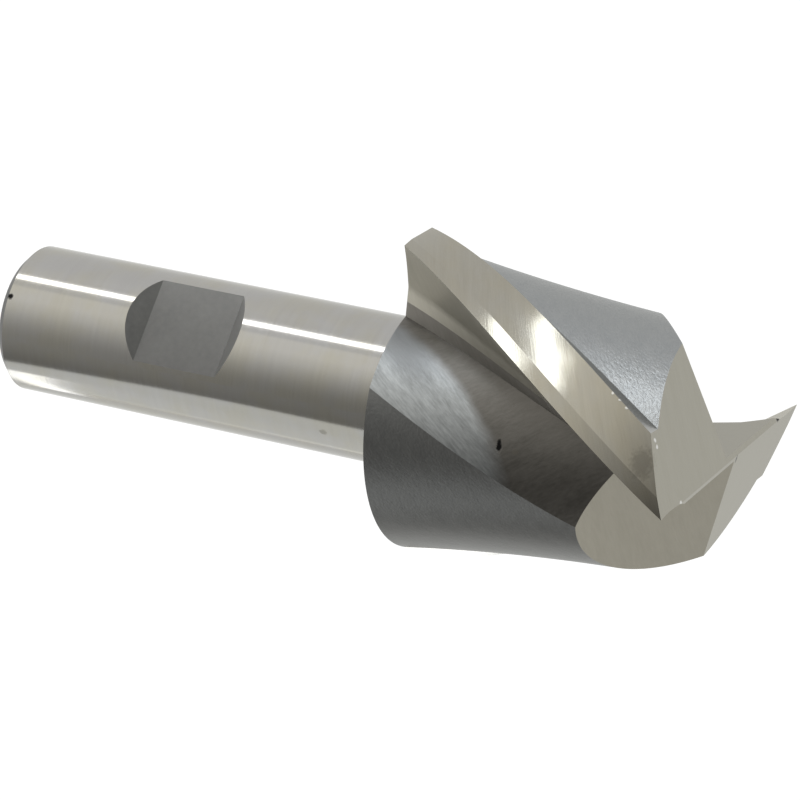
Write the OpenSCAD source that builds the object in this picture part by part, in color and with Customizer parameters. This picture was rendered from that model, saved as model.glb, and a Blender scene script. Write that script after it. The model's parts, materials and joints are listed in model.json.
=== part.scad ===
// Two-flute square end mill with a large head on a smaller side-lock shank.
// It is one piece of tool steel, and it lies as it comes to rest: on the rim of its
// shank end and on the lands of its head. The tool is drawn along +Z first, shank end
// at z = 0 and cutting end up, and then laid down along +X.
// Angles behind a cutting edge are measured around the axis, from the edge back over
// its land and body to the next edge.

/* [Shank] */
// Diameter of the ground shank
shank_d = 19.05; // [16:0.05:24]
// Length from the shank end to the back of the head
shank_length = 56.4; // [48:0.1:80]
// Chamfer around the shank end
shank_chamfer = 1.1; // [0.4:0.1:2]

/* [Side-lock flat] */
// Distance from the shank end to the floor of the flat
flat_start = 20.6; // [12:0.1:24]
// Length of the floor of the flat
flat_length = 11.75; // [8:0.05:14]
// Depth of the floor below the shank surface
flat_depth = 1.9; // [1:0.05:2.6]
// Length of each sloping end of the flat
flat_run = 2.15; // [1:0.05:3]
// Angle of the flat around the axis, behind the corner of a tooth
flat_angle = 41.3; // [0:0.1:180]

/* [Head] */
// Diameter over the cutting edges
head_d = 44.45; // [40:0.05:52]
// Length of the head, back face to corners
head_length = 42.05; // [34:0.05:50]
// Helix angle of the cutting edges
helix_angle = 34.6; // [20:0.1:40]

/* [Lands] */
// Width of the primary land, in degrees around the axis
primary_width = 5.2; // [3:0.1:8]
// Relief angle of the primary land
primary_relief = 8; // [4:0.5:12]
// Where the secondary land ends, in degrees behind the edge
secondary_end = 20.2; // [14:0.1:26]
// Relief angle of the secondary land, from the tangent at the edge
secondary_relief = 16; // [12:0.5:20]
// Width of the step wall down to the unground body, in degrees
step_width = 2.3; // [1:0.1:5]

/* [Body and flute] */
// Body radius at the foot of the step, as a share of the head radius
body_share = 0.891; // [0.84:0.001:0.93]
// Body radius at the heel, as a share of the head radius
heel_share = 0.684; // [0.62:0.001:0.74]
// How quickly the body falls away behind the step
body_power = 2.15; // [1.4:0.05:3]
// Where the heel lies, in degrees behind the edge
heel_angle = 126.7; // [118:0.1:134]
// Core radius at the bottom of the flute, as a share of the head radius
core_share = 0.58; // [0.54:0.005:0.62]
// How quickly the flute floor falls from the heel to the core
floor_power = 1.35; // [1:0.05:2]
// Radius where the hook starts on the rake face, as a share of the head radius
hook_share = 0.73; // [0.68:0.005:0.78]
// Width of the hook at the bottom of the rake face, in degrees
hook_width = 6.4; // [4:0.1:9]
// Hollow of the rake face, in degrees
rake_hollow = 0.4; // [0:0.1:1]

/* [Cutting end] */
// Relief angle of the end flanks
end_relief = 17.6; // [12:0.1:22]
// Steepness of the gash wall that cuts the other tooth's heel
gash_slope = 41.9; // [36:0.1:48]
// Direction in which that wall falls, in degrees ahead of the edge
gash_turn = 36.6; // [30:0.1:44]
// How far the gash reaches past the middle
gash_reach = 1.2; // [0.8:0.1:1.8]
// Half thickness of the web left between the two gashes
web_half = 0.7; // [0.5:0.05:1]
// Rake angle of the gash wall under the end edge
gash_rake = 12; // [4:1:16]

/* [Hidden] */

$fn = 96;
big = 120;

// The seam of the shank's round surface lies this far around from the flat
seam_angle = 67.5;

shank_r = shank_d / 2;
flat_end = flat_start + flat_length + flat_run;
head_r = head_d / 2;
tool_length = shank_length + head_length;

// Turn of the section along the head, in degrees for each millimetre
twist_rate = tan(helix_angle) / head_r * 180 / PI;

// Foot of each land and of the step, as [radius, angle behind the edge]
function chord_radius(relief, from_r, from_a, a) =
    from_r * cos(relief - from_a) / cos(relief - a);
primary_r = chord_radius(primary_relief, head_r, 0, primary_width);
secondary_r = chord_radius(secondary_relief, primary_r, primary_width, secondary_end);
step_a = secondary_end + step_width;
step_r = body_share * head_r;
heel_r = heel_share * head_r;
core_r = core_share * head_r;
hook_r = hook_share * head_r;
root_a = 180 - hook_width;

body_points = 15;
floor_points = 8;
rake_points = 3;
layers = 36;

// The twisted blank reaches past both ends of the head, which plane cuts then square off
overshoot = 0.5;
layer_height = (head_length + overshoot) / layers;

function at(r, a) = [r * cos(a), -r * sin(a)];

function land_points() = [
    at(head_r, 0),
    at(primary_r, primary_width),
    at(chord_radius(secondary_relief, primary_r, primary_width, secondary_end / 2 + 2),
        secondary_end / 2 + 2),
    at(secondary_r, secondary_end)
];

function body_outline() = [
    for (i = [0:body_points])
        let (u = i / body_points)
        at(heel_r + (step_r - heel_r) * pow(1 - u, body_power),
            step_a + (heel_angle - step_a) * u)
];

function floor_outline() = [
    for (i = [1:floor_points])
        let (u = i / floor_points)
        at(core_r + (heel_r - core_r) * pow(1 - u, floor_power),
            heel_angle + (root_a - heel_angle) * u)
];

function rake_outline() = [
    for (i = [0:rake_points])
        let (u = i / (rake_points + 1))
        at(hook_r + (head_r - hook_r) * u, 180 + rake_hollow * sin(180 * u))
];

tooth_outline = concat(land_points(), body_outline(), floor_outline(), rake_outline());
section = concat(tooth_outline, [for (p = tooth_outline) -p]);

module head_blank() {
    n = len(section);
    points = [
        for (k = [-1:layers])
            let (z = head_length - k * layer_height, t = twist_rate * (z - head_length))
            for (p = section)
                [p[0] * cos(t) - p[1] * sin(t), p[0] * sin(t) + p[1] * cos(t), z]
    ];
    walls = [
        for (k = [0:layers], i = [0:n - 1])
            let (j = (i + 1) % n)
            for (f = [[k * n + i, (k + 1) * n + i, k * n + j],
                [k * n + j, (k + 1) * n + i, (k + 1) * n + j]])
                f
    ];
    front = [[for (i = [0:n - 1]) i]];
    back = [[for (i = [0:n - 1]) (layers + 2) * n - 1 - i]];
    translate([0, 0, shank_length])
        polyhedron(points, concat(walls, front, back));
}

// Everything above the relief plane of one end flank
module flank_cut() {
    translate([head_r, 0, tool_length])
        rotate([end_relief, 0, 0])
            translate([-big / 2, -big / 2, 0])
                cube([big, big, big / 4]);
}

// The notch between the wall under the end edge and the wall across the other heel
module gash_cut() {
    intersection() {
        translate([0, web_half, tool_length])
            rotate([-gash_rake, 0, 0])
                translate([-big / 2, 0, -big / 2])
                    cube(big);
        translate([-gash_reach, 0, tool_length])
            rotate([0, gash_slope, gash_turn])
                translate([-big / 2, -big / 2, 0])
                    cube([big, big, big / 2]);
    }
}

module head() {
    color([0.62, 0.62, 0.60])
        difference() {
            head_blank();
            translate([-big / 2, -big / 2, shank_length - big])
                cube(big);
            for (turn = [0, 180])
                rotate([0, 0, turn]) {
                    flank_cut();
                    gash_cut();
                }
        }
}

// Axial section of the material that the flat takes away, open outwards
module flat_section() {
    floor_r = shank_r - flat_depth;
    polygon([
        [floor_r, flat_start],
        [floor_r, flat_start + flat_length],
        [shank_r + flat_depth, flat_end + flat_run],
        [shank_r + flat_depth, flat_start - 2 * flat_run]
    ]);
}

module shank() {
    color([0.72, 0.71, 0.68])
        rotate([0, 0, -flat_angle - seam_angle])
            difference() {
                rotate_extrude()
                    polygon([
                        [0, 0],
                        [shank_r - shank_chamfer, 0],
                        [shank_r, shank_chamfer],
                        [shank_r, shank_length + shank_r / 2],
                        [0, shank_length + shank_r / 2]
                    ]);
                rotate([90, 0, seam_angle])
                    linear_extrude(shank_d + 2, center = true)
                        flat_section();
            }
}

// How far a point of the section lies towards the ground, turned by t
function down(p, t) = p[0] * cos(t) - p[1] * sin(t);

// Tilt of the axis at which the head touches the ground that the shank end rests on
function tilt(roll) = max([
    for (k = [0:layers])
        let (z = max(head_length - k * layer_height, 0))
        let (t = twist_rate * (z - head_length) + roll)
        for (p = section)
            atan((down(p, t) - shank_r) / (shank_length + z - shank_chamfer))
]);

// The tool comes to rest on the side where its axis tilts least
function least_tilt(a, b, steps) =
    steps == 0 ? (a + b) / 2
    : let (c = a + (b - a) / 3, d = b - (b - a) / 3)
        tilt(c) < tilt(d) ? least_tilt(a, d, steps - 1) : least_tilt(c, b, steps - 1);
tilts = [for (a = [3:3:180]) tilt(a)];
low_side = 3 * search(min(tilts), tilts)[0] + 3;
rest_roll = least_tilt(low_side - 3, low_side + 3, 20);
rest_tilt = tilt(rest_roll);

// Ends of the tool along X as it lies, and the height of its axis at the shank end
back_x = -(shank_r - shank_chamfer) * sin(rest_tilt);
front_x = tool_length * cos(rest_tilt) + head_r * abs(cos(rest_roll)) * sin(rest_tilt);
axis_height = shank_r * cos(rest_tilt) - shank_chamfer * sin(rest_tilt);

module lying() {
    translate([-(back_x + front_x) / 2, 0, axis_height])
        rotate([0, 90 - rest_tilt, 0])
            rotate([0, 0, rest_roll])
                children();
}

module end_mill() {
    lying()
        union() {
            head();
            shank();
        }
}

end_mill();
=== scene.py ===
"""Two-flute square end mill, lying on its side as it comes to rest.

The whole tool is one mesh. Its forms are worked out in tool space, in millimetres: the
axis is +Z, the shank end is at z = 0 and the corners of the two teeth are at the top.
Angles behind a cutting edge run round the axis from the edge over its land and body to
the next edge. The last step lays the mesh down where the CAD part lies.
"""
import json
import math

import bmesh
import bpy
import numpy as np
from mathutils import Matrix


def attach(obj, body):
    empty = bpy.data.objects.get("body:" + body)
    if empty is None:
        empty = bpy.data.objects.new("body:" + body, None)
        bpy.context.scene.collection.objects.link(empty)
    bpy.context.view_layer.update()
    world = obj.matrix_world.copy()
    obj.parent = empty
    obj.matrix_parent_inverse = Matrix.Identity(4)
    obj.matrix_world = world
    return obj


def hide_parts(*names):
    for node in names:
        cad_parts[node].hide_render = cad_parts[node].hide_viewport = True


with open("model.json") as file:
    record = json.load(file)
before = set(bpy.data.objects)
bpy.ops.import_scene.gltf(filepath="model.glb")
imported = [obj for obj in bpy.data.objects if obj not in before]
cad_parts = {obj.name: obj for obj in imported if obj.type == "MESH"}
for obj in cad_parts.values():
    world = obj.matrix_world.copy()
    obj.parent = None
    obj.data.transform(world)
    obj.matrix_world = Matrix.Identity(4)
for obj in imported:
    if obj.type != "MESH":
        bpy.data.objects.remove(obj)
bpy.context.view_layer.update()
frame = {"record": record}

MM = 0.001

# Shank and its side-lock flat
SHANK_R = 9.525
SHANK_LENGTH = 56.4
SHANK_CHAMFER = 1.1
FLAT_START = 20.6
FLAT_LENGTH = 11.75
FLAT_DEPTH = 1.9
FLAT_RUN = 2.15
FLAT_ANGLE = 41.3

# Head and its helix
HEAD_R = 22.225
HEAD_LENGTH = 42.05
HELIX_ANGLE = 34.6

# Lands, in degrees behind the edge
PRIMARY_WIDTH = 5.2
PRIMARY_RELIEF = 8.0
SECONDARY_END = 20.2
SECONDARY_RELIEF = 16.0
STEP_WIDTH = 2.3

# Body, flute and rake face, as shares of the head radius and degrees
BODY_SHARE = 0.891
HEEL_SHARE = 0.684
BODY_POWER = 2.15
HEEL_ANGLE = 126.7
CORE_SHARE = 0.58
FLOOR_POWER = 1.35
HOOK_SHARE = 0.73
HOOK_WIDTH = 6.4
RAKE_HOLLOW = 0.4

# Cutting end
END_RELIEF = 17.6
GASH_SLOPE = 41.9
GASH_TURN = 36.6
GASH_REACH = 1.2
WEB_HALF = 0.7
GASH_RAKE = 12.0

TOOL_LENGTH = SHANK_LENGTH + HEAD_LENGTH
TWIST = math.tan(math.radians(HELIX_ANGLE)) / HEAD_R

# How far a blank or a cutter reaches past what it meets, half size of a cutting block,
# and the gap under which two points are one
OVERSHOOT = 1.0
BIG = 60.0
SLIVER = 0.001

# An edge that turns by more than this stays crisp, in degrees
SHARP_ANGLE = 24

# Steps of each stretch of a tooth's section, from its edge to the next
STEPS = {"primary_land": 5, "secondary_land": 13, "step": 4, "body": 40, "flute": 24,
         "hook": 6, "rake": 12}

# Steps at the root of the hook that are milled as the flute is, and not ground
HOOK_ROOT_STEPS = 3

HEAD_LAYERS, QUICK_LAYERS = 236, 96
SHANK_COLUMNS, QUICK_COLUMNS = 240, 96

# Half sizes of the run-out behind the heel, with its painted reflection, across the flute
# floor and along the axis
RUN_OUT_SHEEN_ACROSS = 9.6
RUN_OUT_SHEEN_ALONG = 18.0

# The surfaces of the tool, in the order of the mesh's material slots
ZONES = ("shank", "shank_chamfer", "shank_end", "flat", "flat_front", "flat_back",
         "primary_land", "secondary_land", "step", "body", "painted_shade_body", "flute",
         "hook_root", "rake", "end_flank", "gash", "head_back")
ZONE = {name: i for i, name in enumerate(ZONES)}


# Tool space to the place where the tool lies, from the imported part's mounts

def tool_matrix():
    """Columns are the tool's axes where it lies: the axis runs against the shank end's
    normal, and the corner of the first tooth is FLAT_ANGLE ahead of the flat's normal."""
    mounts = {m["name"]: m for m in frame["record"]["mounts"]}
    axis = -np.array(mounts["shank_end"]["axis"], float)
    flat = np.array(mounts["side_lock_flat"]["axis"], float)
    side = np.cross(axis, flat)
    turn = math.radians(FLAT_ANGLE)
    x_axis = math.cos(turn) * flat + math.sin(turn) * side
    matrix = np.eye(4)
    matrix[:3, 0] = x_axis
    matrix[:3, 1] = np.cross(axis, x_axis)
    matrix[:3, 2] = axis
    matrix[:3, 3] = mounts["shank_end"]["pos_m"]
    return matrix


# Section of the head

def chord_radius(relief, from_r, from_a, angle):
    """Radius of the straight line that leaves (from_r, from_a) at the relief angle."""
    return from_r * np.cos(np.radians(relief - from_a)) / np.cos(np.radians(relief - angle))


def spaced(start, end, stretch):
    """Even places from start up to the end, which belongs to the next stretch."""
    return np.linspace(start, end, STEPS[stretch], endpoint=False)


def tooth_outline():
    """Radius, angle behind the edge and zone along one tooth. The two lands are chords
    at their relief angles, the body falls as (1 - u) ** BODY_POWER to the heel, the
    flute floor as (1 - u) ** FLOOR_POWER to the core, and the hook runs up to the rake
    face, which is hollow by a sine."""
    primary_a = spaced(0, PRIMARY_WIDTH, "primary_land")
    primary_r = chord_radius(PRIMARY_RELIEF, HEAD_R, 0, primary_a)
    corner_r = chord_radius(PRIMARY_RELIEF, HEAD_R, 0, PRIMARY_WIDTH)
    secondary_a = spaced(PRIMARY_WIDTH, SECONDARY_END, "secondary_land")
    secondary_r = chord_radius(SECONDARY_RELIEF, corner_r, PRIMARY_WIDTH, secondary_a)
    land_end_r = chord_radius(SECONDARY_RELIEF, corner_r, PRIMARY_WIDTH, SECONDARY_END)

    step_a = spaced(SECONDARY_END, SECONDARY_END + STEP_WIDTH, "step")
    body_start_r = BODY_SHARE * HEAD_R
    step_r = spaced(land_end_r, body_start_r, "step")

    heel_r = HEEL_SHARE * HEAD_R
    u = spaced(0, 1, "body")
    body_a = SECONDARY_END + STEP_WIDTH + (HEEL_ANGLE - SECONDARY_END - STEP_WIDTH) * u
    body_r = heel_r + (body_start_r - heel_r) * (1 - u) ** BODY_POWER

    core_r = CORE_SHARE * HEAD_R
    u = spaced(0, 1, "flute")
    floor_a = HEEL_ANGLE + (180 - HOOK_WIDTH - HEEL_ANGLE) * u
    floor_r = core_r + (heel_r - core_r) * (1 - u) ** FLOOR_POWER

    hook_r = HOOK_SHARE * HEAD_R
    u = spaced(0, 1, "hook")
    hook_start = polar(core_r, 180 - HOOK_WIDTH)
    hook_end = polar(hook_r, 180)
    hook = hook_start + (hook_end - hook_start) * u[:, None]
    hook_ra = np.hypot(hook[:, 0], hook[:, 1])
    hook_a = np.degrees(np.arctan2(-hook[:, 1], hook[:, 0])) % 360

    u = spaced(0, 1, "rake")
    rake_a = 180 + RAKE_HOLLOW * np.sin(np.pi * u)
    rake_r = hook_r + (HEAD_R - hook_r) * u

    root = HOOK_ROOT_STEPS
    stretches = (
        (primary_r, primary_a, "primary_land"),
        (secondary_r, secondary_a, "secondary_land"),
        (step_r, step_a, "step"),
        (body_r, body_a, "body"),
        (floor_r, floor_a, "flute"),
        (hook_ra[:root], hook_a[:root], "hook_root"),
        (hook_ra[root:], hook_a[root:], "rake"),
        (rake_r, rake_a, "rake"),
    )
    radius = np.concatenate([s[0] for s in stretches])
    angle = np.concatenate([s[1] for s in stretches])
    zone = np.concatenate([np.full(len(s[0]), ZONE[s[2]]) for s in stretches])
    return radius, angle, zone


def polar(radius, angle):
    """Point of the section at an angle behind the edge."""
    a = np.radians(angle)
    return np.stack([radius * np.cos(a), -radius * np.sin(a)], -1)


def tooth_run():
    """Distance along the section from the edge of one tooth to that of the next."""
    radius, angle, _ = tooth_outline()
    ring = polar(np.append(radius, HEAD_R), np.append(angle, 180))
    return np.concatenate([[0], np.cumsum(np.linalg.norm(np.diff(ring, axis=0), axis=1))])


# Meshes from arrays

def new_mesh(name, points, faces, zones, across, along):
    """A mesh in tool space with a zone for each face and a map in millimetres: across
    and along give each corner's place on the surface."""
    mesh = bpy.data.meshes.new(name)
    mesh.from_pydata(points, [], faces)
    mesh.polygons.foreach_set("material_index", np.asarray(zones, np.int32))
    layer = mesh.uv_layers.new(name="surface")
    flat = np.stack([across, along], -1).astype(np.float32).ravel()
    layer.data.foreach_set("uv", flat)
    obj = bpy.data.objects.new(name, mesh)
    bpy.context.scene.collection.objects.link(obj)
    for zone in ZONES:
        mesh.materials.append(finish[zone])
    return obj


def grid_faces(rows, columns):
    """Quads between the rows of a grid whose columns close into a ring."""
    i, j = np.meshgrid(np.arange(rows - 1), np.arange(columns), indexing="ij")
    k = (j + 1) % columns
    quads = np.stack([i * columns + j, i * columns + k, (i + 1) * columns + k,
                      (i + 1) * columns + j], -1)
    return quads.reshape(-1, 4), i.ravel(), j.ravel()


def head_blank():
    """The section turned by TWIST for each millimetre along the axis, from the back of
    the head to just past its corners."""
    radius, angle, zone = tooth_outline()
    radius, angle = np.tile(radius, 2), np.concatenate([angle, angle + 180])
    # the body of one tooth is painted darker than that of the other, as painted shade on the
    # same finish
    zone = np.concatenate([zone, np.where(zone == ZONE["body"], ZONE["painted_shade_body"], zone)])
    ring = polar(radius, angle)
    columns = len(ring)
    layers = HEAD_LAYERS
    height = np.linspace(0, HEAD_LENGTH + OVERSHOOT, layers)
    turn = TWIST * (height - HEAD_LENGTH)
    cos, sin = np.cos(turn)[:, None], np.sin(turn)[:, None]
    x = ring[None, :, 0] * cos - ring[None, :, 1] * sin
    y = ring[None, :, 0] * sin + ring[None, :, 1] * cos
    z = np.broadcast_to(SHANK_LENGTH + height[:, None], x.shape)
    points = np.stack([x, y, z], -1).reshape(-1, 3)

    # the map runs across one tooth from its edge, and starts again at the next
    run = tooth_run()
    quads, row, column = grid_faces(layers, columns)
    place = column % (columns // 2)
    # the ring runs clockwise seen from the tip, so each quad is turned over
    quads = quads[:, ::-1]
    across = np.stack([run[place], run[place + 1], run[place + 1], run[place]], -1)
    along = np.stack([height[row + 1], height[row + 1], height[row], height[row]], -1)
    back = np.arange(columns)
    front = (layers - 1) * columns + np.arange(columns)[::-1]
    faces = quads.tolist() + [back.tolist(), front.tolist()]
    zones = np.concatenate([zone[column], [ZONE["head_back"], ZONE["end_flank"]]])
    caps = np.concatenate([points[back], points[front]])
    across = np.concatenate([across.ravel(), caps[:, 0]])
    along = np.concatenate([along.ravel(), caps[:, 1]])
    return new_mesh("head", points, faces, zones, across, along)


def shank_blank():
    """A revolved profile: end face, chamfer and cylinder, which runs on into the head."""
    columns = SHANK_COLUMNS
    inner = SHANK_R - SHANK_CHAMFER
    profile = np.array([(inner, 0.0), (SHANK_R, SHANK_CHAMFER)])
    heights = np.linspace(SHANK_CHAMFER, SHANK_LENGTH + SHANK_R / 2, 14)[1:]
    side = np.stack([np.full(len(heights), SHANK_R), heights], -1)
    profile = np.concatenate([profile, side])
    turn = np.linspace(0, 2 * np.pi, columns, endpoint=False)
    x = profile[:, :1] * np.cos(turn)
    y = profile[:, :1] * np.sin(turn)
    z = np.broadcast_to(profile[:, 1:], x.shape)
    points = np.stack([x, y, z], -1).reshape(-1, 3)
    quads, row, column = grid_faces(len(profile), columns)
    step = 2 * np.pi * SHANK_R / columns
    run = np.concatenate([[0], np.cumsum(np.hypot(*np.diff(profile, axis=0).T))])
    across = np.stack([column, column + 1, column + 1, column], -1) * step
    along = np.stack([run[row], run[row], run[row + 1], run[row + 1]], -1)
    bottom = np.arange(columns)[::-1]
    top = (len(profile) - 1) * columns + np.arange(columns)
    faces = quads.tolist() + [bottom.tolist(), top.tolist()]
    zones = np.concatenate([np.where(row == 0, ZONE["shank_chamfer"], ZONE["shank"]),
                            [ZONE["shank_end"], ZONE["head_back"]]])
    caps = np.concatenate([points[bottom], points[top]])
    across = np.concatenate([across.ravel(), caps[:, 0]])
    along = np.concatenate([along.ravel(), caps[:, 1]])
    return new_mesh("shank", points, faces, zones, across, along)


BOX_FACES = ((0, 3, 2, 1), (4, 5, 6, 7), (0, 1, 5, 4), (1, 2, 6, 5), (2, 3, 7, 6),
             (3, 0, 4, 7))


def block(name, low, high, matrix, zones):
    """A cutting block from low to high, carried by a matrix. Each face's map is laid out
    in the block's own millimetres, and its zone is what the cut leaves there."""
    low, high = np.array(low, float), np.array(high, float)
    unit = np.array([(0, 0, 0), (1, 0, 0), (1, 1, 0), (0, 1, 0),
                     (0, 0, 1), (1, 0, 1), (1, 1, 1), (0, 1, 1)], float)
    local = low + unit * (high - low)
    points = local @ matrix[:3, :3].T + matrix[:3, 3]
    flat_axes = ((0, 1), (0, 1), (0, 2), (1, 2), (0, 2), (1, 2))
    across = np.concatenate([local[list(f), a[0]] for f, a in zip(BOX_FACES, flat_axes)])
    along = np.concatenate([local[list(f), a[1]] for f, a in zip(BOX_FACES, flat_axes)])
    return new_mesh(name, points, [list(f) for f in BOX_FACES], zones, across, along)


def turned(axis, degrees):
    """Matrix of a turn about one of the axes."""
    return np.array(Matrix.Rotation(math.radians(degrees), 4, axis))


def moved(x, y, z):
    """Matrix of a shift."""
    return np.array(Matrix.Translation((x, y, z)))


def combine(base, other, operation):
    """Applies one boolean to the base's mesh, and removes the other object."""
    modifier = base.modifiers.new("cut", "BOOLEAN")
    modifier.operation = operation
    modifier.solver = "EXACT"
    modifier.object = other
    graph = bpy.context.evaluated_depsgraph_get()
    done = bpy.data.meshes.new_from_object(base.evaluated_get(graph))
    base.modifiers.clear()
    base.data = done
    bpy.data.objects.remove(other)


def cut_ends(head):
    """For each tooth: its end flank is a plane that falls away behind the end edge, and
    its gash is what lies above both the wall under that edge and the wall across the
    other tooth's heel."""
    flank = [ZONE["end_flank"]] * 6
    gash = [ZONE["gash"]] * 6
    for half_turn in (0, 180):
        tooth = turned("Z", half_turn)
        relief = tooth @ moved(0, 0, TOOL_LENGTH) @ turned("X", END_RELIEF)
        combine(head, block("flank", (-BIG, -BIG, 0), (BIG, BIG, BIG / 2), relief, flank),
                "DIFFERENCE")
        wall = moved(0, WEB_HALF, TOOL_LENGTH) @ turned("X", -GASH_RAKE)
        notch = block("gash", (-BIG, 0, -BIG), (BIG, BIG * 2, BIG), tooth @ wall, gash)
        slope = (moved(-GASH_REACH, 0, TOOL_LENGTH) @ turned("Z", GASH_TURN)
                 @ turned("Y", GASH_SLOPE))
        combine(notch, block("slope", (-BIG, -BIG, 0), (BIG, BIG, BIG), tooth @ slope, gash),
                "INTERSECT")
        combine(head, notch, "DIFFERENCE")


def flat_cutter():
    """What the flat takes away: an extruded profile whose ends slope outwards."""
    floor_r = SHANK_R - FLAT_DEPTH
    reach = 2 * FLAT_RUN
    profile = np.array([
        (floor_r, FLAT_START),
        (floor_r, FLAT_START + FLAT_LENGTH),
        (floor_r + 2 * FLAT_DEPTH, FLAT_START + FLAT_LENGTH + reach),
        (floor_r + 2 * FLAT_DEPTH, FLAT_START - reach),
    ])
    half = SHANK_R + OVERSHOOT
    near = np.stack([profile[:, 0], np.full(4, -half), profile[:, 1]], -1)
    far = np.stack([profile[:, 0], np.full(4, half), profile[:, 1]], -1)
    points = np.concatenate([near, far]) @ turned("Z", -FLAT_ANGLE)[:3, :3].T
    faces = [(3, 2, 1, 0), (4, 5, 6, 7)]
    faces += [(i, (i + 1) % 4, 4 + (i + 1) % 4, 4 + i) for i in range(4)]
    profile_side = np.concatenate([near, far])
    corners = np.array(faces).ravel()
    across, along = profile_side[corners, 1], profile_side[corners, 2]
    # the wall towards the head is painted lighter as painted light, and the wall towards the
    # shank end darker as painted shade
    zones = [ZONE["flat"]] * 3 + [ZONE["flat_front"], ZONE["flat"], ZONE["flat_back"]]
    return new_mesh("flat_cut", points, [list(f) for f in faces], zones, across, along)


def close_slivers(mesh):
    """Joins points that the cuts left closer together than SLIVER, in millimetres."""
    shape = bmesh.new()
    shape.from_mesh(mesh)
    bmesh.ops.remove_doubles(shape, verts=shape.verts, dist=SLIVER)
    shape.to_mesh(mesh)
    shape.free()


def mark_sharp(mesh, degrees):
    """An edge stays crisp where it parts two zones or where it turns by more than the
    angle; everything else is smooth."""
    count = len(mesh.loops)
    edge = np.empty(count, np.int32)
    mesh.loops.foreach_get("edge_index", edge)
    total = np.empty(len(mesh.polygons), np.int32)
    mesh.polygons.foreach_get("loop_total", total)
    face = np.repeat(np.arange(len(total)), total)
    normal = np.empty(len(total) * 3, np.float32)
    mesh.polygons.foreach_get("normal", normal)
    normal = normal.reshape(-1, 3)
    zone = np.empty(len(total), np.int32)
    mesh.polygons.foreach_get("material_index", zone)
    order = np.argsort(edge, kind="stable")
    first, last = face[order[0::2]], face[order[1::2]]
    assert len(first) == len(mesh.edges) and (edge[order[0::2]] == edge[order[1::2]]).all()
    bend = (normal[first] * normal[last]).sum(1) < math.cos(math.radians(degrees))
    sharp = bend | (zone[first] != zone[last])
    layer = mesh.attributes.new("sharp_edge", "BOOLEAN", "EDGE")
    layer.data.foreach_set("value", sharp)
    mesh.polygons.foreach_set("use_smooth", np.ones(len(total), bool))


def end_mill():
    """Head and shank joined into one closed mesh and laid down."""
    head = head_blank()
    cut_ends(head)
    shank = shank_blank()
    combine(shank, flat_cutter(), "DIFFERENCE")
    combine(head, shank, "UNION")
    mesh = head.data
    close_slivers(mesh)
    points = np.empty(len(mesh.vertices) * 3, np.float32)
    mesh.vertices.foreach_get("co", points)
    place = tool_matrix()
    points = points.reshape(-1, 3) * MM @ place[:3, :3].T + place[:3, 3]
    mesh.vertices.foreach_set("co", points.astype(np.float32).ravel())
    mesh.update()
    mark_sharp(mesh, SHARP_ANGLE)
    head.name = mesh.name = "end_mill_tool"
    return head


# Finishes

def add_node(tree, kind, inputs=None, **settings):
    """A node whose inputs are given by name or number, as values or as other outputs."""
    node = tree.nodes.new(kind)
    for name, value in settings.items():
        setattr(node, name, value)
    for name, value in (inputs or {}).items():
        if isinstance(value, bpy.types.NodeSocket):
            tree.links.new(value, node.inputs[name])
        else:
            node.inputs[name].default_value = value
    return node


def calc(tree, operation, *values):
    """Output of a Math node."""
    return add_node(tree, "ShaderNodeMath", dict(enumerate(values)),
                    operation=operation).outputs[0]


def blend(tree, amount, a, b):
    """Colour a where the amount is 0 and b where it is 1."""
    return add_node(tree, "ShaderNodeMix", {"Factor": amount, "A": a, "B": b},
                    data_type="RGBA").outputs["Result"]


def group_tree(name, inputs, outputs):
    """An empty node group. Its inputs map names to default values."""
    tree = bpy.data.node_groups.new(name, "ShaderNodeTree")
    for label, value in inputs.items():
        kind = "NodeSocketFloat" if isinstance(value, float) else "NodeSocketColor"
        socket = tree.interface.new_socket(name=label, in_out="INPUT", socket_type=kind)
        socket.default_value = value
    for label, kind in outputs.items():
        tree.interface.new_socket(name=label, in_out="OUTPUT", socket_type=kind)
    return tree, tree.nodes.new("NodeGroupInput").outputs, tree.nodes.new("NodeGroupOutput")


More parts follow.
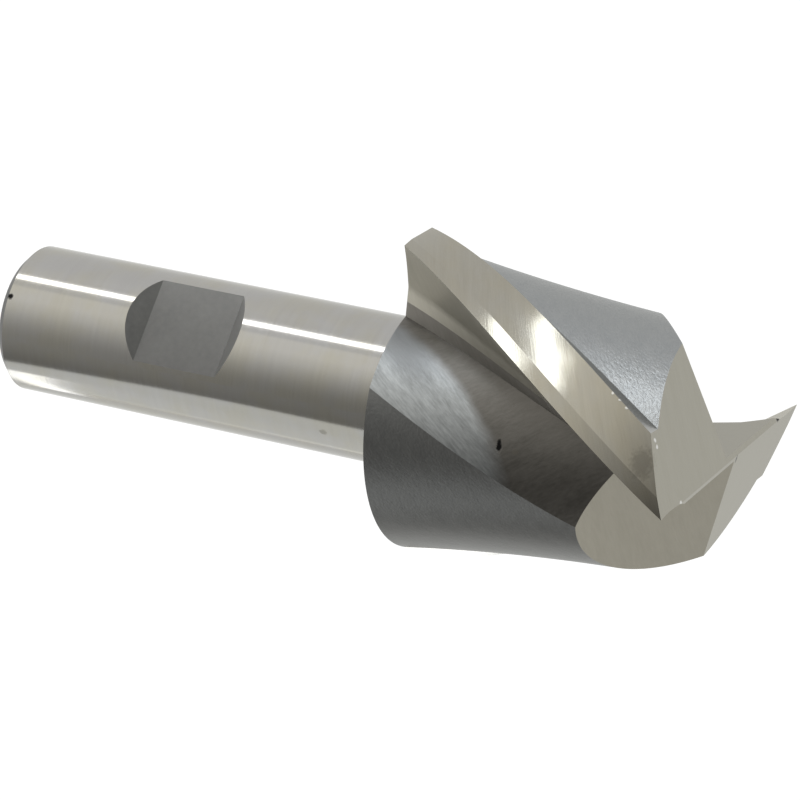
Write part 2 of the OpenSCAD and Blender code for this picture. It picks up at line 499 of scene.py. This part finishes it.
def grain_group():
    """Grinding and milling grain, laid on the surface's own map. Two noises are
    stretched along the cut, fine lines and broad bands, and a slow cloud lies over them.
    They shift the colour and the roughness and give a height."""
    tree, put, out = group_tree(
        "grain",
        {"Dark": (0.3, 0.3, 0.3, 1), "Light": (0.4, 0.4, 0.4, 1), "Tint": (1, 1, 1, 1),
         "Across": 6.0, "Along": 0.3, "Lean": 0.0, "Roughness": 0.3, "Spread": 0.05},
        {"Color": "NodeSocketColor", "Roughness": "NodeSocketFloat",
         "Height": "NodeSocketFloat"})
    place = add_node(tree, "ShaderNodeUVMap", uv_map="surface").outputs["UV"]
    turn = add_node(tree, "ShaderNodeVectorRotate", {"Vector": place, "Angle": put["Lean"]},
                    rotation_type="Z_AXIS").outputs["Vector"]
    scale = add_node(tree, "ShaderNodeCombineXYZ", {"X": put["Across"], "Y": put["Along"]})
    stretch = add_node(tree, "ShaderNodeVectorMath", {0: turn, 1: scale.outputs["Vector"]},
                       operation="MULTIPLY").outputs["Vector"]
    fine = add_node(tree, "ShaderNodeTexNoise",
                    {"Vector": stretch, "Scale": 1.0, "Detail": 3.0, "Roughness": 0.6})
    broad = add_node(tree, "ShaderNodeTexNoise",
                     {"Vector": stretch, "Scale": 0.22, "Detail": 4.0, "Roughness": 0.55})
    both = calc(tree, "ADD", fine.outputs["Fac"], broad.outputs["Fac"])
    span = add_node(tree, "ShaderNodeMapRange",
                    {"Value": both, "From Min": 0.64, "From Max": 1.36}).outputs["Result"]
    cloud = add_node(tree, "ShaderNodeTexNoise",
                     {"Vector": place, "Scale": 0.16, "Detail": 3.0, "Roughness": 0.6})
    patch = add_node(tree, "ShaderNodeMapRange",
                     {"Value": cloud.outputs["Fac"], "From Min": 0.4, "From Max": 0.62})
    tone = blend(tree, span, put["Dark"], put["Light"])
    tinted = add_node(tree, "ShaderNodeMix", {"Factor": patch.outputs["Result"],
                                              "A": tone, "B": put["Tint"]},
                      data_type="RGBA", blend_type="MULTIPLY").outputs["Result"]
    gloss = calc(tree, "MULTIPLY_ADD", span, put["Spread"], put["Roughness"])
    tree.links.new(tinted, out.inputs["Color"])
    tree.links.new(gloss, out.inputs["Roughness"])
    tree.links.new(both, out.inputs["Height"])
    return tree


# Colour of each kind of mark and of the run-out where its painted reflection fades
DARK_TONE = (0.012, 0.012, 0.012, 1)
FAINT_TONE = (0.13, 0.12, 0.1, 1)
BRIGHT_TONE = (0.6, 0.6, 0.58, 1)
SHEEN_FADE_TONE = (0.15, 0.155, 0.156, 1)

# How strongly the faint marks show, and how far the run-out's painted reflection fades
FAINT_SHARE = 0.45
SHEEN_FADE_SHARE = 0.85

# Height of the grain at relief 1, in metres, and of burrs and pits against the grain
GRAIN_HEIGHT = 0.00002
BURR_HEIGHT = 3.0
PIT_DEPTH = 5.0

# Tint that the metals take on where they are seen edge-on
EDGE_TINT = (0.84, 0.84, 0.82, 1)

# Small marks where the tool lies, in millimetres: centre and half sizes
DARK_MARKS = (
    ((-48.89, 7.75, 14.99), (0.5, 0.45, 0.45)),
    ((22.35, 6.30, 30.55), (0.4, 0.85, 0.85)),
    ((49.80, -5.12, 6.19), (0.6, 0.45, 0.45)),
    ((48.10, -1.20, 19.05), (0.5, 0.75, 0.25)),
)
FAINT_MARKS = (
    ((-3.54, -0.56, 24.28), (0.6, 0.5, 0.5)),
    ((24.41, 5.91, 30.83), (0.5, 0.4, 0.4)),
    ((42.8, 12.7, 37.8), (1.6, 2.1, 2.1)),
)
BRIGHT_MARKS = (
    ((38.05, 17.88, 31.92), (0.2, 0.2, 0.2)),
    ((39.10, 17.50, 32.55), (0.3, 0.18, 0.18)),
    ((40.08, 17.04, 33.31), (0.3, 0.2, 0.2)),
    ((43.85, 14.37, 35.26), (0.3, 0.35, 0.3)),
    ((44.05, 13.55, 35.50), (0.3, 0.3, 0.3)),
    ((46.40, 5.59, 35.76), (0.3, 0.35, 0.35)),
)


def marks_group():
    """Masks for pits, faint spots and bright burrs: ragged ellipsoids round each mark."""
    tree, _, out = group_tree("marks", {}, {
        "Dark": "NodeSocketFloat", "Faint": "NodeSocketFloat", "Bright": "NodeSocketFloat"})
    place = add_node(tree, "ShaderNodeTexCoord").outputs["Object"]
    ragged = add_node(tree, "ShaderNodeTexNoise",
                      {"Vector": place, "Scale": 2600.0, "Detail": 1.0}).outputs["Fac"]
    for label, marks in (("Dark", DARK_MARKS), ("Faint", FAINT_MARKS),
                         ("Bright", BRIGHT_MARKS)):
        mask = None
        for centre, size in marks:
            shift = add_node(tree, "ShaderNodeVectorMath",
                             {0: place, 1: [c * MM for c in centre]}, operation="SUBTRACT")
            scaled = add_node(tree, "ShaderNodeVectorMath",
                              {0: shift.outputs["Vector"], 1: [1 / (v * MM) for v in size]},
                              operation="MULTIPLY")
            reach = add_node(tree, "ShaderNodeVectorMath", {0: scaled.outputs["Vector"]},
                             operation="LENGTH").outputs["Value"]
            edge = calc(tree, "MULTIPLY_ADD", ragged, 0.9, reach)
            spot = add_node(tree, "ShaderNodeMapRange",
                            {"Value": edge, "From Min": 1.5, "From Max": 1.0})
            mask = spot.outputs["Result"] if mask is None else calc(
                tree, "MAXIMUM", mask, spot.outputs["Result"])
        tree.links.new(mask, out.inputs[label])
    return tree


def run_out_sheen_group():
    """Where the milling cutter ran out behind the heel: a quarter ellipse on the flute's
    map, from the heel across the floor and from the back of the head along it. Its
    milling marks are real, and it is painted lighter as a painted reflection. The painted
    reflection fades, painted darker, in its far back corner, and a little towards its end."""
    tree, _, out = group_tree("run_out_sheen", {}, {"Mask": "NodeSocketFloat",
                                              "Dull": "NodeSocketFloat"})
    place = add_node(tree, "ShaderNodeUVMap", uv_map="surface").outputs["UV"]
    split = add_node(tree, "ShaderNodeSeparateXYZ", {"Vector": place}).outputs
    zone = tooth_outline()[2]
    heel = tooth_run()[np.argmax(zone == ZONE["flute"])]
    across = calc(tree, "DIVIDE", calc(tree, "SUBTRACT", split["X"], float(heel)),
                  RUN_OUT_SHEEN_ACROSS)
    along = calc(tree, "DIVIDE", split["Y"], RUN_OUT_SHEEN_ALONG)
    reach = calc(tree, "SQRT", calc(tree, "ADD", calc(tree, "MULTIPLY", across, across),
                                    calc(tree, "MULTIPLY", along, along)))
    wave = add_node(tree, "ShaderNodeTexNoise", {"Vector": place, "Scale": 0.3})
    reach = calc(tree, "MULTIPLY_ADD", wave.outputs["Fac"], 0.12, reach)
    mask = add_node(tree, "ShaderNodeMapRange",
                    {"Value": reach, "From Min": 1.14, "From Max": 0.95},
                    interpolation_type="SMOOTHSTEP")
    tree.links.new(mask.outputs["Result"], out.inputs["Mask"])
    # where the painted reflection fades: far across and near the back, and a little towards
    # the end
    far, back, end = (
        add_node(tree, "ShaderNodeMapRange", {"Value": share, "From Min": a, "From Max": b},
                 interpolation_type="SMOOTHSTEP").outputs["Result"]
        for share, a, b in ((across, 0.3, 0.65), (along, 0.6, 0.15), (along, 0.5, 0.95)))
    fade = calc(tree, "MAXIMUM", calc(tree, "MULTIPLY", far, back),
                calc(tree, "MULTIPLY", end, 0.3))
    tree.links.new(fade, out.inputs["Dull"])
    return tree


def grain_node(tree, dark, light, tint, across, along, lean, roughness, spread):
    """The grain group placed in a material. Across and along are lines per millimetre,
    and lean turns them, in degrees."""
    return add_node(tree, "ShaderNodeGroup", {
        "Dark": (*dark, 1), "Light": (*light, 1), "Tint": (*tint, 1), "Across": across,
        "Along": along, "Lean": math.radians(lean), "Roughness": roughness,
        "Spread": spread}, node_tree=GRAIN).outputs


def steel(name, dark, light, across, along, lean, roughness, spread, relief,
          tint=(1, 1, 1), run_out_sheen=None):
    """One steel finish: a metal whose colour, roughness and relief follow the grain and
    the small marks. A second grain, painted lighter as a painted reflection, may take over
    inside the run-out."""
    material = bpy.data.materials.new(name)
    material.use_nodes = True
    tree = material.node_tree
    shader = tree.nodes["Principled BSDF"]
    shader.inputs["Metallic"].default_value = 1.0
    shader.inputs["Specular Tint"].default_value = EDGE_TINT
    grain = grain_node(tree, dark, light, tint, across, along, lean, roughness, spread)
    color, gloss, height = grain["Color"], grain["Roughness"], grain["Height"]
    if run_out_sheen:
        area = add_node(tree, "ShaderNodeGroup", node_tree=RUN_OUT_SHEEN).outputs
        mask = area["Mask"]
        # the inner grain is painted lighter as a painted reflection, and darker again where
        # it fades
        inner = grain_node(tree, **run_out_sheen)
        faded = blend(tree, calc(tree, "MULTIPLY", area["Dull"], SHEEN_FADE_SHARE),
                       inner["Color"], SHEEN_FADE_TONE)
        color = blend(tree, mask, color, faded)
        gloss = add_node(tree, "ShaderNodeMix", {"Factor": mask, "A": gloss,
                                                 "B": inner["Roughness"]},
                         data_type="FLOAT").outputs["Result"]
        height = add_node(tree, "ShaderNodeMix", {"Factor": mask, "A": height,
                                                  "B": inner["Height"]},
                          data_type="FLOAT").outputs["Result"]
    marks = add_node(tree, "ShaderNodeGroup", node_tree=MARKS).outputs
    faint = calc(tree, "MULTIPLY", marks["Faint"], FAINT_SHARE)
    color = blend(tree, faint, color, FAINT_TONE)
    color = blend(tree, marks["Dark"], color, DARK_TONE)
    color = blend(tree, marks["Bright"], color, BRIGHT_TONE)
    pitted = calc(tree, "SUBTRACT", calc(tree, "MULTIPLY", marks["Bright"], BURR_HEIGHT),
                  calc(tree, "MULTIPLY", marks["Dark"], PIT_DEPTH))
    bump = add_node(tree, "ShaderNodeBump", {
        "Strength": 1.0, "Distance": GRAIN_HEIGHT * relief,
        "Height": calc(tree, "ADD", height, pitted)})
    tree.links.new(color, shader.inputs["Base Color"])
    tree.links.new(gloss, shader.inputs["Roughness"])
    tree.links.new(bump.outputs["Normal"], shader.inputs["Normal"])
    return material


def tool_finishes():
    """One finish for each zone of the tool."""
    ground = dict(dark=(0.29, 0.276, 0.238), light=(0.32, 0.307, 0.268),
                  tint=(1.0, 0.985, 0.94), across=0.4, along=4.0, lean=35, spread=0.04,
                  relief=0.25)
    milled = dict(dark=(0.112, 0.112, 0.11), light=(0.141, 0.141, 0.138), across=1.1,
                  along=1.1, lean=0, roughness=0.46, spread=0.06, relief=0.4)
    turned_face = dict(across=1.0, along=1.0, lean=0, spread=0.1, relief=0.4)
    satin = dict(across=2.6, along=2.6, lean=0, roughness=0.34, spread=0.06)
    end_ground = dict(across=3.0, along=0.4, lean=0, roughness=0.3, spread=0.05, relief=0.3)
    # milling marks of the run-out, painted much lighter than the flute as a painted
    # reflection
    run_out_sheen = dict(dark=(0.195, 0.204, 0.207), light=(0.365, 0.381, 0.387), tint=(1, 1, 1),
                   across=0.8, along=3.0, lean=75, roughness=0.3, spread=0.12)
    return {
        "shank": steel("ground_shank", (0.345, 0.34, 0.328), (0.367, 0.363, 0.35),
                       across=0.15, along=4.0, lean=0, roughness=0.115, spread=0.03,
                       relief=0.15, tint=(1.0, 0.985, 0.92)),
        "shank_chamfer": steel("turned_chamfer", (0.06, 0.06, 0.06), (0.1, 0.1, 0.1),
                               across=0.5, along=3.0, lean=0, roughness=0.3, spread=0.1,
                               relief=0.4),
        "shank_end": steel("turned_end", (0.3, 0.3, 0.29), (0.38, 0.38, 0.36),
                           **turned_face, roughness=0.25),
        "flat": steel("milled_flat", **milled),
        # the flat's milled finish again on its end walls: painted lighter on the front as
        # painted light, darker on the back as painted shade
        "flat_front": steel("milled_flat_front_painted_light", **(milled | dict(
            dark=(0.25, 0.25, 0.245), light=(0.29, 0.29, 0.285)))),
        "flat_back": steel("milled_flat_back_painted_shade", **(milled | dict(
            dark=(0.062, 0.062, 0.06), light=(0.085, 0.085, 0.081)))),
        "primary_land": steel("primary_land_steel", **ground, roughness=0.15),
        "secondary_land": steel("secondary_land_steel", **ground, roughness=0.16),
        "step": steel("sheared_step", (0.34, 0.34, 0.33), (0.38, 0.38, 0.37),
                      across=2.0, along=2.0, lean=0, roughness=0.2, spread=0.06,
                      relief=0.3),
        "body": steel("satin_body", (0.24, 0.25, 0.254), (0.285, 0.292, 0.292),
                      **satin, relief=4.5),
        # the body's satin again, painted darker on the second tooth's body as painted shade
        "painted_shade_body": steel("satin_body_painted_shade", (0.153, 0.156, 0.155), (0.178, 0.181, 0.178),
                           **satin, relief=1.5),
        "flute": steel("milled_flute", (0.1, 0.095, 0.086), (0.144, 0.137, 0.126),
                       across=0.8, along=3.6, lean=-40, roughness=0.36, spread=0.08,
                       relief=0.8, run_out_sheen=run_out_sheen),
        "hook_root": steel("milled_hook", (0.22, 0.211, 0.193), (0.28, 0.268, 0.249),
                           across=0.5, along=3.0, lean=35, roughness=0.58, spread=0.08,
                           relief=0.6),
        "rake": steel("ground_rake", (0.42, 0.408, 0.358), (0.49, 0.473, 0.421),
                      across=0.5, along=4.0, lean=35, roughness=0.44, spread=0.06,
                      relief=0.4),
        "end_flank": steel("ground_flank", (0.298, 0.287, 0.243), (0.328, 0.317, 0.273),
                           **end_ground),
        "gash": steel("ground_gash", (0.27, 0.258, 0.221), (0.298, 0.286, 0.246),
                      **end_ground),
        "head_back": steel("turned_back", (0.28, 0.28, 0.27), (0.36, 0.36, 0.35),
                           **turned_face, roughness=0.3),
    }


# Camera, floor and light

CAMERA_PLACE = (0.156172, 0.290940, 0.351967)
CAMERA_RIGHT = (0.939190, -0.119968, -0.321761)
CAMERA_UP = (-0.113985, 0.774956, -0.621652)
FOCAL_PIXELS = 3746.8
FRAME_PIXELS = 800
SENSOR_WIDTH = 36.0

# Half size of the floor, and its place just under the rim that the tool lies on, in metres
FLOOR_HALF = 6.0
FLOOR_HEIGHT = -0.00002


def camera():
    """The photograph's viewpoint, fitted to the shank and the head. The tool can't rest
    at the roll that the photograph shows, so the camera is rolled instead."""
    data = bpy.data.cameras.new("camera")
    data.sensor_width = SENSOR_WIDTH
    data.lens = FOCAL_PIXELS / FRAME_PIXELS * data.sensor_width
    data.clip_start, data.clip_end = 0.01, 20
    obj = bpy.data.objects.new("camera", data)
    bpy.context.scene.collection.objects.link(obj)
    right, up = np.array(CAMERA_RIGHT), np.array(CAMERA_UP)
    right /= np.linalg.norm(right)
    back = np.cross(right, up)
    back /= np.linalg.norm(back)
    up = np.cross(back, right)
    matrix = np.eye(4)
    matrix[:3, 0], matrix[:3, 1], matrix[:3, 2] = right, up, back
    matrix[:3, 3] = CAMERA_PLACE
    obj.matrix_world = Matrix(matrix)
    bpy.context.scene.camera = obj


def floor():
    """A wide plain white sheet that glows evenly, so that it stays white in the picture."""
    mesh = bpy.data.meshes.new("floor")
    corners = [(x * FLOOR_HALF, y * FLOOR_HALF, 0)
               for x, y in ((-1, -1), (1, -1), (1, 1), (-1, 1))]
    mesh.from_pydata(corners, [], [(0, 1, 2, 3)])
    obj = bpy.data.objects.new("floor", mesh)
    bpy.context.scene.collection.objects.link(obj)
    obj.location.z = FLOOR_HEIGHT
    material = bpy.data.materials.new("white_floor")
    material.use_nodes = True
    shader = material.node_tree.nodes["Principled BSDF"]
    shader.inputs["Base Color"].default_value = (0.1, 0.1, 0.1, 1)
    shader.inputs["Roughness"].default_value = 0.9
    shader.inputs["Specular IOR Level"].default_value = 0.0
    shader.inputs["Emission Color"].default_value = (1, 1, 1, 1)
    shader.inputs["Emission Strength"].default_value = 1.0
    mesh.materials.append(material)


def softbox(name, place, facing, size, radiance, color=(1, 1, 1), side=(0, 0, 0)):
    """A rectangular soft light, in millimetres, that looks along facing with an even
    radiance. Its width runs level unless a side is given."""
    width, height = size[0] * MM, size[1] * MM
    data = bpy.data.lights.new(name, "AREA")
    data.shape = "RECTANGLE"
    data.size, data.size_y = width, height
    data.energy = radiance * math.pi * width * height
    data.color = color
    obj = bpy.data.objects.new(name, data)
    obj.visible_camera = False
    bpy.context.scene.collection.objects.link(obj)
    back = -np.array(facing, float) / np.linalg.norm(facing)
    side = np.array(side, float) if any(side) else np.cross((0, 0, 1), back)
    side /= np.linalg.norm(side)
    matrix = np.eye(4)
    matrix[:3, 0], matrix[:3, 1], matrix[:3, 2] = side, np.cross(back, side), back
    matrix[:3, 3] = np.array(place) * MM
    obj.matrix_world = Matrix(matrix)


# The room's radiance at each sine of the elevation, and its tint
ROOM = ((0.0, 1.3), (0.3, 1.27), (0.5, 1.04), (0.69, 0.69), (0.84, 0.39), (0.92, 0.2),
        (1.0, 0.12))
ROOM_TINT = (1.0, 0.985, 0.94)

# Direction of the room's dimmer side, and how much light is missing there
DIM_SIDE = (-0.42, -0.906, 0.0)
DIM_SHARE = 0.74


def room():
    """A pale room that darkens overhead. From just above the horizon it is also dimmer
    on one side."""
    world = bpy.data.worlds.new("room")
    bpy.context.scene.world = world
    world.use_nodes = True
    tree = world.node_tree
    place = add_node(tree, "ShaderNodeTexCoord").outputs["Generated"]
    height = add_node(tree, "ShaderNodeSeparateXYZ", {"Vector": place}).outputs["Z"]
    ramp = add_node(tree, "ShaderNodeValToRGB", {"Fac": height})
    while len(ramp.color_ramp.elements) < len(ROOM):
        ramp.color_ramp.elements.new(0.5)
    for element, (at, value) in zip(ramp.color_ramp.elements, ROOM):
        element.position = at
        element.color = (*(value * tint for tint in ROOM_TINT), 1)
    side = add_node(tree, "ShaderNodeVectorMath", {0: place, 1: DIM_SIDE},
                    operation="DOT_PRODUCT").outputs["Value"]
    near = add_node(tree, "ShaderNodeMapRange", {
        "Value": side, "From Min": 0.2, "From Max": 0.85, "To Min": 0.0, "To Max": DIM_SHARE},
        interpolation_type="SMOOTHSTEP").outputs["Result"]
    raised = add_node(tree, "ShaderNodeMapRange", {
        "Value": height, "From Min": 0.0, "From Max": 0.1},
        interpolation_type="SMOOTHSTEP").outputs["Result"]
    dim = calc(tree, "SUBTRACT", 1.0, calc(tree, "MULTIPLY", near, raised))
    tree.links.new(ramp.outputs["Color"], tree.nodes["Background"].inputs["Color"])
    tree.links.new(dim, tree.nodes["Background"].inputs["Strength"])


def lights():
    """Behind the tool stand two pale walls and a card that the shank mirrors, and a card
    for the head. In front of it there is a bright strip, low along the shank, and cards
    for the highlights of the lands, the edge and the body."""
    axis = tool_matrix()[:3, 2]
    room()
    softbox("cool_wall", (-131, -130, 134), (0, 1, 0), (94, 212), 0.85, (0.98, 1, 1))
    softbox("low_wall", (-67, -130, 98), (0, 1, 0), (34, 140), 0.85, (0.98, 1, 1))
    softbox("end_card", (-124, -129, 44), (0, 1, 0), (8, 84), 2.6, side=(0.943, 0, 0.334))
    softbox("strip", (-34, 35, 8.5), (0, -1, 0), (62, 4.0), 5.5, side=axis)
    softbox("land_card", (7.5, 89, 17.5), (0, -1, 0), (11, 48), 4.8, (0.9, 0.95, 1),
            side=(-0.79, 0, 0.61))
    softbox("edge_card", (5.5, 88, 28), (0, -1, 0), (6, 12), 2.4, (0.9, 0.95, 1))
    softbox("body_card", (34, 89, 19), (0, -1, 0), (24, 30), 3.9, (0.93, 0.965, 1))
    softbox("back_card", (54, -130, 113), (-42, 115, -86), (52, 135), 3.3)


bpy.context.scene.view_settings.view_transform = "Standard"
GRAIN = grain_group()
MARKS = marks_group()
RUN_OUT_SHEEN = run_out_sheen_group()
finish = tool_finishes()
tool = end_mill()
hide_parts("end_mill")
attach(tool, "root")
camera()
floor()
lights()
